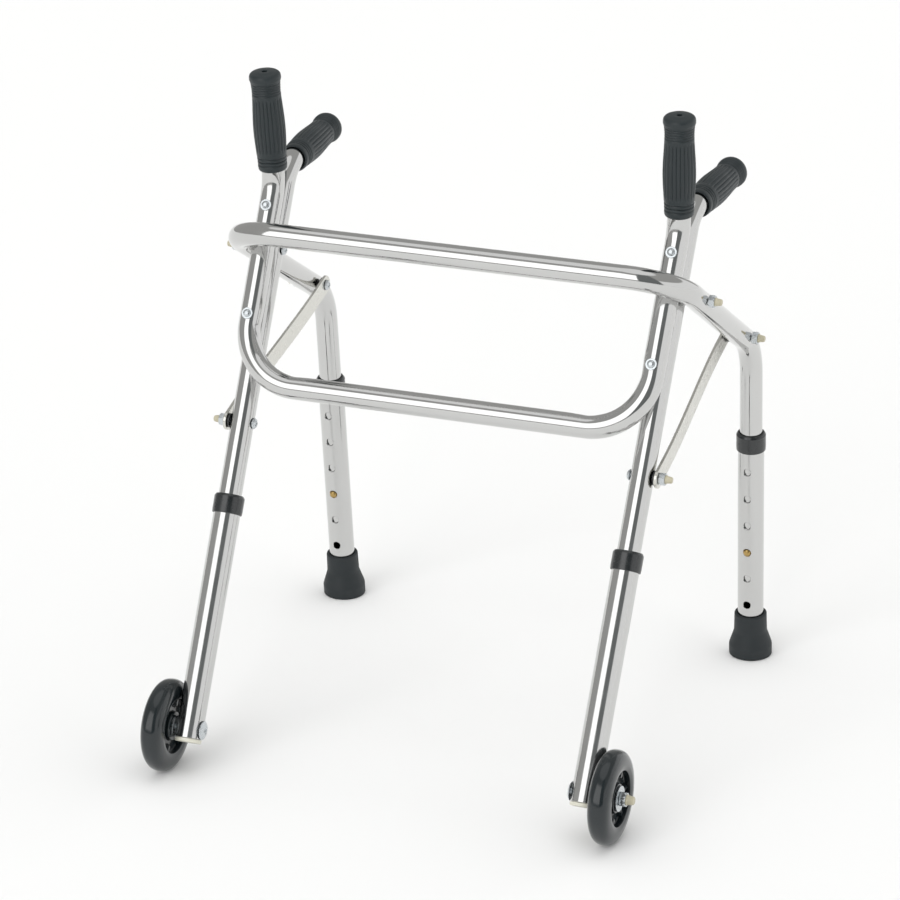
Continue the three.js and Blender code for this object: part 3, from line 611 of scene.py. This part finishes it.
# Steel with a thin clear zinc plate, greyer than the bright plate of the tubes.
zinc_plate = plated("clear zinc plate", "d3d8db", 0.22, 3)
for side, sign in SIDES:
    for name in ("main", "stay_foot", "rear_corner"):
        place = sideways(f"{name}_bolt_{side}", sign)
        add_piece(f"{name}_bolt_turned_{side}",
                  turned(bolt_outline(HEAD_R, HEAD_HEIGHT, SHANK_R, place[2]), place, 64, cross_recess),
                  zinc_plate, "frame", [f"{name}_bolt_{side}"])
    place = sideways(f"axle_bolt_{side}", sign)
    add_piece(f"axle_bolt_turned_{side}",
              turned(bolt_outline(AXLE_HEAD_R, AXLE_HEAD_HEIGHT, AXLE_R, place[2]), place, 64, cross_recess),
              zinc_plate, f"front_leg_{side}", [f"axle_bolt_{side}"])

# ---- Nuts -------------------------------------------------------------------------------------
# Zinc-plated steel hexagon nuts with chamfered corners, screwed on to the bolts on the outer sides
# of the frame and of the wheels.
NUT_HEIGHT, NUT_CHAMFER, BORE_EDGE = 5 * MM, 0.7 * MM, 0.4 * MM
NUT_FLATS, AXLE_NUT_FLATS = 9.5 * MM, 11.1 * MM
NUT_GAP = 0.05 * MM            # round the bolt


def fastened(side, small, large):
    """Name, given measure, shank radius and body of each bolt's parts on one side of the frame."""
    return [("main", small, SHANK_R, "frame"), ("stay_foot", small, SHANK_R, "frame"),
            ("rear_corner", small, SHANK_R, "frame"), ("axle", large, AXLE_R, f"front_leg_{side}")]


def hexagon(flats):
    """Shape that cuts a turned outline down to a hexagon: the distance from the middle to a flat, divided by
    the cosine of the angle from the middle of that flat."""
    def cut(radius, height, angle):
        from_flat = np.mod(angle + np.pi / 6, np.pi / 3) - np.pi / 6
        return np.minimum(radius, flats / 2 / np.cos(from_flat)), height
    return cut


def nut_outline(flats, bore, height):
    corner_r = flats / math.sqrt(3)
    return np.array([(bore, 0), (flats / 2, 0), (corner_r, NUT_CHAMFER), (corner_r, height - NUT_CHAMFER),
                     (flats / 2, height), (bore + BORE_EDGE, height), (bore, height - BORE_EDGE),
                     (bore, 0)])


for side, sign in SIDES:
    for name, flats, shank_r, body in fastened(side, NUT_FLATS, AXLE_NUT_FLATS):
        node = f"{name}_nut_{side}"
        outline = nut_outline(flats, shank_r + NUT_GAP, NUT_HEIGHT)
        add_piece(f"{name}_hexagon_nut_{side}", turned(outline, sideways(node, sign), 72, hexagon(flats)),
                  zinc_plate, body, [node], sharp=25)

# ---- Nut caps ---------------------------------------------------------------------------------
# A small cream plastic cap is moulded as one hollow piece and pushed over the end of each bolt, up
# to its nut.
CAP_R, AXLE_CAP_R, CAP_TOP = 3.2 * MM, 4 * MM, 1.5 * MM


def cap_outline(radius, bore, length):
    return rounded((0, length - CAP_TOP), (bore, length - CAP_TOP), (bore, 0),
                   (radius + 0.4 * MM, 0, 0.15 * MM), (radius + 0.4 * MM, 0.8 * MM, 0.3 * MM),
                   (radius - 0.1 * MM, 1 * MM, 0.2 * MM),
                   (radius - 0.7 * MM, length, 1.2 * MM), (0, length))


# Cream nylon, moulded smooth and a little shiny.
cream_nylon = moulded("cream nylon", "aaa48e", 0.32, 0.8, 0.006)
for side, sign in SIDES:
    for name, radius, shank_r, body in fastened(side, CAP_R, AXLE_CAP_R):
        start, axis, length = sideways(f"{name}_nut_{side}", sign)
        outline = cap_outline(radius, shank_r + NUT_GAP, length - NUT_HEIGHT)
        add_piece(f"{name}_nut_cap_{side}", turned(outline, (start + NUT_HEIGHT * axis, axis, length)),
                  cream_nylon, body)

# ---- Discs and washers ------------------------------------------------------------------------
# A black nylon disc keeps each end of a stay off the tube. Plain steel washers stand on both sides
# of each wheel's hub.
DISC_R, DISC_EDGE = 6 * MM, 0.35 * MM
INNER_WASHER_R, OUTER_WASHER_R, WASHER_EDGE = 9 * MM, 10.4 * MM, 0.25 * MM
WASHER_GAP = 0.3 * MM          # round the bolt


def disc_outline(radius, bore, height, edge):
    """Flat ring with rounded edges, closed on itself."""
    corners = [(bore, height / 2), (bore, 0, edge), (radius, 0, edge), (radius, height, edge),
               (bore, height, edge), (bore, height / 2)]
    return rounded(*corners, steps=4)


# Black nylon with a moulded gloss.
black_nylon = moulded("black nylon", "0d1214", 0.20, 0.6, 0.006, level=0.8)
for side, sign in SIDES:
    for name in ("stay_foot_spacer", "rear_corner_spacer"):
        place = sideways(f"{name}_{side}", sign)
        outline = disc_outline(DISC_R, SHANK_R + WASHER_GAP, place[2], DISC_EDGE)
        add_piece(f"{name}_disc_{side}", turned(outline, place), black_nylon, "frame", [f"{name}_{side}"])
    for name, radius in (("inner_washer", INNER_WASHER_R), ("outer_washer", OUTER_WASHER_R)):
        place = sideways(f"{name}_{side}", sign)
        outline = disc_outline(radius, AXLE_R + WASHER_GAP, place[2], WASHER_EDGE)
        add_piece(f"{name}_plain_{side}", turned(outline, place, 72), zinc_plate, f"front_leg_{side}",
                  [f"{name}_{side}"])

# ---- Rivets -----------------------------------------------------------------------------------
# Two steel rivets on each side join the grip tube to the leg behind it. Each shows a flanged dome
# in front and a small formed head behind.
RIVET_R, FORMED_R, FORMED_HEIGHT = 2 * MM, 3.4 * MM, 1.8 * MM
FLANGE_R, FLANGE_BACK, FLANGE_FACE = 4.7 * MM, 2.6 * MM, 2 * MM       # back and face lie below the dome
for side, _ in SIDES:
    for name in ("upper_rivet", "lower_rivet"):
        place = spindle(f"{name}_{side}", leg_front)
        top = place[2]
        outline = rounded((0, 0), (2.6 * MM, 0.1 * MM, 1 * MM), (FORMED_R, FORMED_HEIGHT, 0.2 * MM),
                          (RIVET_R, FORMED_HEIGHT), (RIVET_R, top - FLANGE_BACK),
                          (FLANGE_R, top - FLANGE_BACK, 0.1 * MM),
                          (FLANGE_R, top - FLANGE_FACE, 0.2 * MM), (3.25 * MM, top - FLANGE_FACE),
                          (3.1 * MM, top - 0.9 * MM, 0.9 * MM),
                          (1.6 * MM, top - 0.02 * MM, 1.6 * MM), (0, top))
        add_piece(f"{name}_set_{side}", turned(outline, place), zinc_plate, "frame", [f"{name}_{side}"])

# ---- Lower tubes ------------------------------------------------------------------------------
# Telescopic lower legs of 7/8 inch tube over the upper ones: aluminium, polished and anodised. Six
# holes in one face take the snap button, one inch apart.
LOWER_R, LOWER_BORE_R = 11.1 * MM, 10 * MM
HOLE_PITCH, HOLES, BUTTON_HOLE, HOLE_R = 25.4 * MM, 6, 3, 3.4 * MM
HOLE_CHAMFER = 0.3 * MM
CELL = 6.35 * MM               # half the width of the square round a hole
CELL_STEPS = CELL * np.tan(np.radians(np.linspace(-45, 45, 9)))
BLENDS = np.array([1, 0.75, 0.5, 0.25, 0.08, 0])[:, None]             # from the square to the hole


def drilled_tube(start, axis, length, hole_side, first_hole):
    """Straight tube wall with a row of holes. It is laid out flat, s along the tube and t round it from the
    holes: a square ring of quads about each hole, plain strips between the squares, and one sheet round the
    rest. Every row also runs back along the bore, and the ends are rounded."""
    across = np.cross(axis, hole_side)

    def wrap(s, t, r):
        s, t, r = np.broadcast_arrays(s, t, r)
        turn = (t / LOWER_R)[..., None]
        outwards = np.cos(turn) * hole_side + np.sin(turn) * across
        return start + s[..., None] * axis + r[..., None] * outwards, np.stack([s, t], -1)

    holes = [first_hole + k * HOLE_PITCH for k in range(HOLES)]
    rows, cursor = [0.0], RIM
    for hole in [*holes, None]:
        stop = length - RIM if hole is None else hole - CELL
        plain = np.linspace(cursor, stop, max(2, round((stop - cursor) / STEP) + 1))
        rows += list(plain)
        if hole is not None:
            rows += list(hole + CELL_STEPS[1:-1])
            cursor = hole + CELL
    rows.append(length)
    s = np.array(rows)
    cell = np.zeros(len(s) - 1, bool)
    middle = (s[1:] + s[:-1]) / 2
    for hole in holes:
        cell |= np.abs(middle - hole) < CELL
    outer, bore = np.full(len(s), LOWER_R), np.full(len(s), LOWER_BORE_R)
    outer[[0, -1]] -= RIM
    bore[[0, -1]] += RIM
    loop_s, loop_r = np.concatenate([s, s[::-1], s[:1]]), np.concatenate([outer, bore[::-1], outer[:1]])
    loop_cell = np.concatenate([cell, [False], cell[::-1], [False]])
    around = np.linspace(CELL, 2 * np.pi * LOWER_R - CELL, 53)
    patches = [wrap(loop_s[:, None], around, loop_r[:, None])]
    edges = np.flatnonzero(np.diff(np.concatenate([[1], loop_cell, [1]])))
    for begin, end in zip(edges[::2], edges[1::2]):
        run = slice(begin, end + 1)
        patches.append(wrap(loop_s[run, None], CELL_STEPS, loop_r[run, None]))
    phi = np.linspace(0, 2 * np.pi, 33)
    circle = np.stack([np.cos(phi), np.sin(phi)])
    square = CELL * circle / np.abs(circle).max(0)
    ring = [BLENDS * square[k] + (1 - BLENDS) * (HOLE_R + HOLE_CHAMFER) * circle[k] for k in (0, 1)]
    back = [(BLENDS * square[k] + (1 - BLENDS) * HOLE_R * circle[k])[::-1] for k in (0, 1)]
    edge = [HOLE_R * circle[k][None] for k in (0, 1)]
    flat = [np.concatenate([ring[k], edge[k], back[k]]) for k in (0, 1)]
    depth = [LOWER_R] * len(BLENDS) + [LOWER_R - HOLE_CHAMFER] + [LOWER_BORE_R] * len(BLENDS)
    depth = np.array(depth)[:, None]
    return patches + [wrap(hole + flat[0], flat[1], depth) for hole in holes]


# Polished aluminium under a clear anodised film: softer lines than in the plated tubes.
anodised = drawn_metal("polished anodised tube", "cbcbca", 0.10, 0.17, 0.0012 * MM)
rear_front = unit((0, -rear_up[2], rear_up[1]))
for side, sign in SIDES:
    here = np.array((sign, 1, 1))
    for kind, origin, axis, out in (("front", leg_bolt, leg_down, -leg_front),
                                    ("rear", rear_foot, -rear_up, rear_front)):
        node = f"{kind}_lower_tube_{side}"
        reach = (own_points(node) - origin * here) @ (axis * here)
        button = (centre(f"{kind}_button_{side}") - origin * here) @ (axis * here)
        add_piece(f"{kind}_lower_tube_drawn_{side}",
                  drilled_tube((origin + reach.min() * axis) * here, axis * here, np.ptp(reach), out,
                               button - reach.min() - BUTTON_HOLE * HOLE_PITCH),
                  anodised, f"{kind}_leg_{side}", [node])

# ---- Collars ----------------------------------------------------------------------------------
# A black nylon collar caps the top of each lower tube and guides the upper tube in it. It is moulded,
# and pushed on over the tube.
COLLAR_R, COLLAR_HEIGHT, COLLAR_LIP, COLLAR_GAP = 12.5 * MM, 16 * MM, 1.25 * MM, 0.35 * MM
for side, sign in SIDES:
    for kind, axis in (("front", -leg_down), ("rear", rear_up)):
        node = f"{kind}_collar_{side}"
        bore, inner_bore, shelf = LOWER_R + COLLAR_GAP, UPPER_R + COLLAR_GAP, COLLAR_HEIGHT - COLLAR_LIP
        outline = rounded((bore, COLLAR_HEIGHT / 2), (bore, 0, 0.2 * MM),
                          (COLLAR_R - 0.2 * MM, 0, 0.5 * MM), (COLLAR_R, 3 * MM, 2 * MM),
                          (COLLAR_R, COLLAR_HEIGHT - 2 * MM, 0.8 * MM),
                          (COLLAR_R - 1.3 * MM, COLLAR_HEIGHT, 0.9 * MM),
                          (inner_bore, COLLAR_HEIGHT, 0.3 * MM), (inner_bore, shelf), (bore, shelf),
                          (bore, COLLAR_HEIGHT / 2))
        add_piece(f"{kind}_collar_moulded_{side}",
                  turned(outline, spindle(node, axis * (sign, 1, 1)), 72), black_nylon,
                  f"{kind}_leg_{side}", [node])

# ---- End plugs --------------------------------------------------------------------------------
# An ivory plastic plug closes the bottom end of each front lower tube. It is pushed in up to its
# flange, which is as wide as the tube.
PLUG_FLANGE, PLUG_GAP = 3.05 * MM, 0.5 * MM

# Ivory nylon, moulded smooth.
ivory_nylon = moulded("ivory nylon", "c3c1b4", 0.32, 0.8, 0.006)
for side, sign in SIDES:
    place = spindle(f"end_plug_{side}", -leg_down * (sign, 1, 1))
    stem_r, top = LOWER_BORE_R - PLUG_GAP, place[2]
    outline = rounded((0, 0), (LOWER_R - 0.3 * MM, 0, 1 * MM), (LOWER_R, PLUG_FLANGE, 0.3 * MM),
                      (stem_r, PLUG_FLANGE), (stem_r, top, 0.4 * MM), (0, top))
    add_piece(f"end_plug_moulded_{side}", turned(outline, place, 64), ivory_nylon, f"front_leg_{side}",
              [f"end_plug_{side}"])

# ---- Wheels -----------------------------------------------------------------------------------
# Solid 3 inch wheels moulded in one piece of glossy dark plastic: a fat round rim, and a recess on
# each face with six short ribs against the rim. Each turns on the plain shank of its bolt.
WHEEL_R, HUB_R, RECESS_R, WEB = 38.1 * MM, 12 * MM, 22.5 * MM, 3.2 * MM
RIBS, RIB_SUNK, RIB_START = 6, 3.4 * MM, (15 * MM, 16.5 * MM)
HUB_SUNK_IN, HUB_SUNK_OUT, HUB_GAP = 2.3 * MM, 3.2 * MM, 0.13 * MM
RIM_LIP, FLOOR_POINTS = 1.2 * MM, 12


def wheel_outline(width):
    """Closed section from the bore round the inner face, the rim and the outer face, with the wheel's middle
    at height width / 2. The rim is a superellipse: powers 0.72 and 0.8 of the sine and the cosine."""
    half = width / 2
    web_in, web_out = half - WEB, half + WEB
    floor_r = np.linspace(HUB_R + 1 * MM, RECESS_R - 1 * MM, FLOOR_POINTS)
    floor_in = np.stack([floor_r, np.full(FLOOR_POINTS, web_in)], 1)
    floor_out = np.stack([floor_r[::-1], np.full(FLOOR_POINTS, web_out)], 1)
    bore = AXLE_R + HUB_GAP
    first = rounded((bore, half), (bore, HUB_SUNK_IN, 0.4 * MM), (HUB_R, HUB_SUNK_IN, 0.8 * MM),
                    (HUB_R, web_in, 0.8 * MM), tuple(floor_in[0]))
    swell = np.linspace(0, np.pi, 46)[1:-1]
    side_r = RECESS_R + RIM_LIP
    bulge = np.stack([side_r + (WHEEL_R - side_r) * np.sin(swell) ** 0.72,
                      half - half * np.sign(np.cos(swell)) * np.abs(np.cos(swell)) ** 0.8], 1)
    rim_in = rounded(tuple(floor_in[-1]), (RECESS_R, web_in, 0.8 * MM), (RECESS_R, 0.9 * MM, 0.5 * MM),
                     tuple(bulge[0]))
    rim_out = (rim_in * (1, -1) + (0, width))[::-1]
    last = rounded(tuple(floor_out[-1]), (HUB_R, web_out, 0.8 * MM), (HUB_R, width - HUB_SUNK_OUT, 0.8 * MM),
                   (bore, width - HUB_SUNK_OUT, 0.4 * MM), (bore, half))
    return np.concatenate([first[:-1], floor_in, rim_in[1:-1], bulge, rim_out[1:-1], floor_out, last[1:]])


def wheel_shape(width):
    """Six short ribs on both recess floors, against the rim: the floor rises in a narrow sector each."""
    def raise_ribs(radius, height, angle):
        side = np.sign(height - width / 2)
        floor = (np.abs(np.abs(height - width / 2) - WEB) < 0.01 * MM)
        rib = smooth(0.72, 0.86, np.cos(RIBS * angle)) * smooth(*RIB_START, radius) * floor
        return radius, height + side * rib * (width / 2 - RIB_SUNK - WEB)
    return raise_ribs


# Hard dark grey plastic with a good gloss on the moulded skin.
wheel_plastic = moulded("wheel plastic", "12191c", 0.12, 1.5, 0.005, worn=0.06, coat=0.25)
for side, sign in SIDES:
    place = sideways(f"wheel_{side}", sign)
    add_piece(f"wheel_moulded_{side}", turned(wheel_outline(place[2]), place, 180, wheel_shape(place[2])),
              wheel_plastic, f"wheel_{side}", [f"wheel_{side}"], sharp=50)

# ---- Rubber feet ------------------------------------------------------------------------------
# Black rubber ferrules pushed on to the rear legs. The base is cut level although the leg leans, and
# its underside has two ring grooves.
FOOT_BORE_R, FOOT_HEIGHT, FOOT_FLOOR, FOOT_LEVEL = 11.45 * MM, 40.5 * MM, 8 * MM, 12 * MM

# Natural rubber filled with carbon black: matt, with the fine texture of its mould.
foot_rubber = moulded("foot rubber", "141b1e", 0.55, 0.35, 0.03)
for side, sign in SIDES:
    origin, axis = rear_foot * (sign, 1, 1), rear_up * (sign, 1, 1)
    outline = rounded((0, 1.2 * MM), (4.6 * MM, 1.2 * MM), (5 * MM, 0), (8.6 * MM, 0), (9 * MM, 1.2 * MM),
                      (11.6 * MM, 1.2 * MM), (12 * MM, 0), (18.4 * MM, 0, 1.4 * MM),
                      (18.5 * MM, 10 * MM, 8 * MM), (14.2 * MM, 23 * MM, 10 * MM),
                      (13.8 * MM, FOOT_HEIGHT, 1.3 * MM), (FOOT_BORE_R, FOOT_HEIGHT, 0.5 * MM),
                      (FOOT_BORE_R, FOOT_FLOOR), (0, FOOT_FLOOR))
    grid, uv = turned(outline, (origin, axis, FOOT_HEIGHT), 96)[0]
    height = (grid - origin) @ axis
    outside = np.arange(len(outline))[:, None] < len(outline) - 2
    level = np.clip(1 - height / FOOT_LEVEL, 0, 1) * outside
    tilt = (grid[..., 2] - height * axis[2]) / axis[2]
    add_piece(f"rubber_foot_moulded_{side}", [(grid - (level * tilt)[..., None] * axis, uv)], foot_rubber,
              f"rear_leg_{side}", [f"rubber_foot_{side}"])

# ---- Snap buttons -----------------------------------------------------------------------------
# Brass buttons with a domed end stand in the fourth hole of each lower tube. A leaf spring in the
# tube pushes each one out.
BUTTON_R = 3 * MM

# Turned brass, lightly tarnished in spots.
brass = plated("brass", "c2a468", 0.24, 2)
for side, _ in SIDES:
    for kind, out in (("front", -leg_front), ("rear", rear_front)):
        node = f"{kind}_button_{side}"
        place = spindle(node, out)
        outline = rounded((0, 0), (BUTTON_R, 0, 0.2 * MM), (BUTTON_R, place[2] - 1.2 * MM, 1.1 * MM),
                          (1.4 * MM, place[2] - 0.02 * MM, 1.5 * MM), (0, place[2]))
        add_piece(f"{kind}_button_turned_{side}", turned(outline, place), brass, f"{kind}_button_{side}",
                  [node])

# ---- Button springs ---------------------------------------------------------------------------
# Hairpins of spring steel strip, bent up and slid into the upper tubes. Each carries one snap button.
# The CAD's own springs are kept, with a metal in their slots.

# Tempered strip, dulled by the heat.
spring_steel = plated("spring steel", "8f9294", 0.3, 4)
for side, _ in SIDES:
    for kind in ("front", "rear"):
        for material_slot in frame["nodes"][f"{kind}_button_spring_{side}"].material_slots:
            material_slot.material = spring_steel
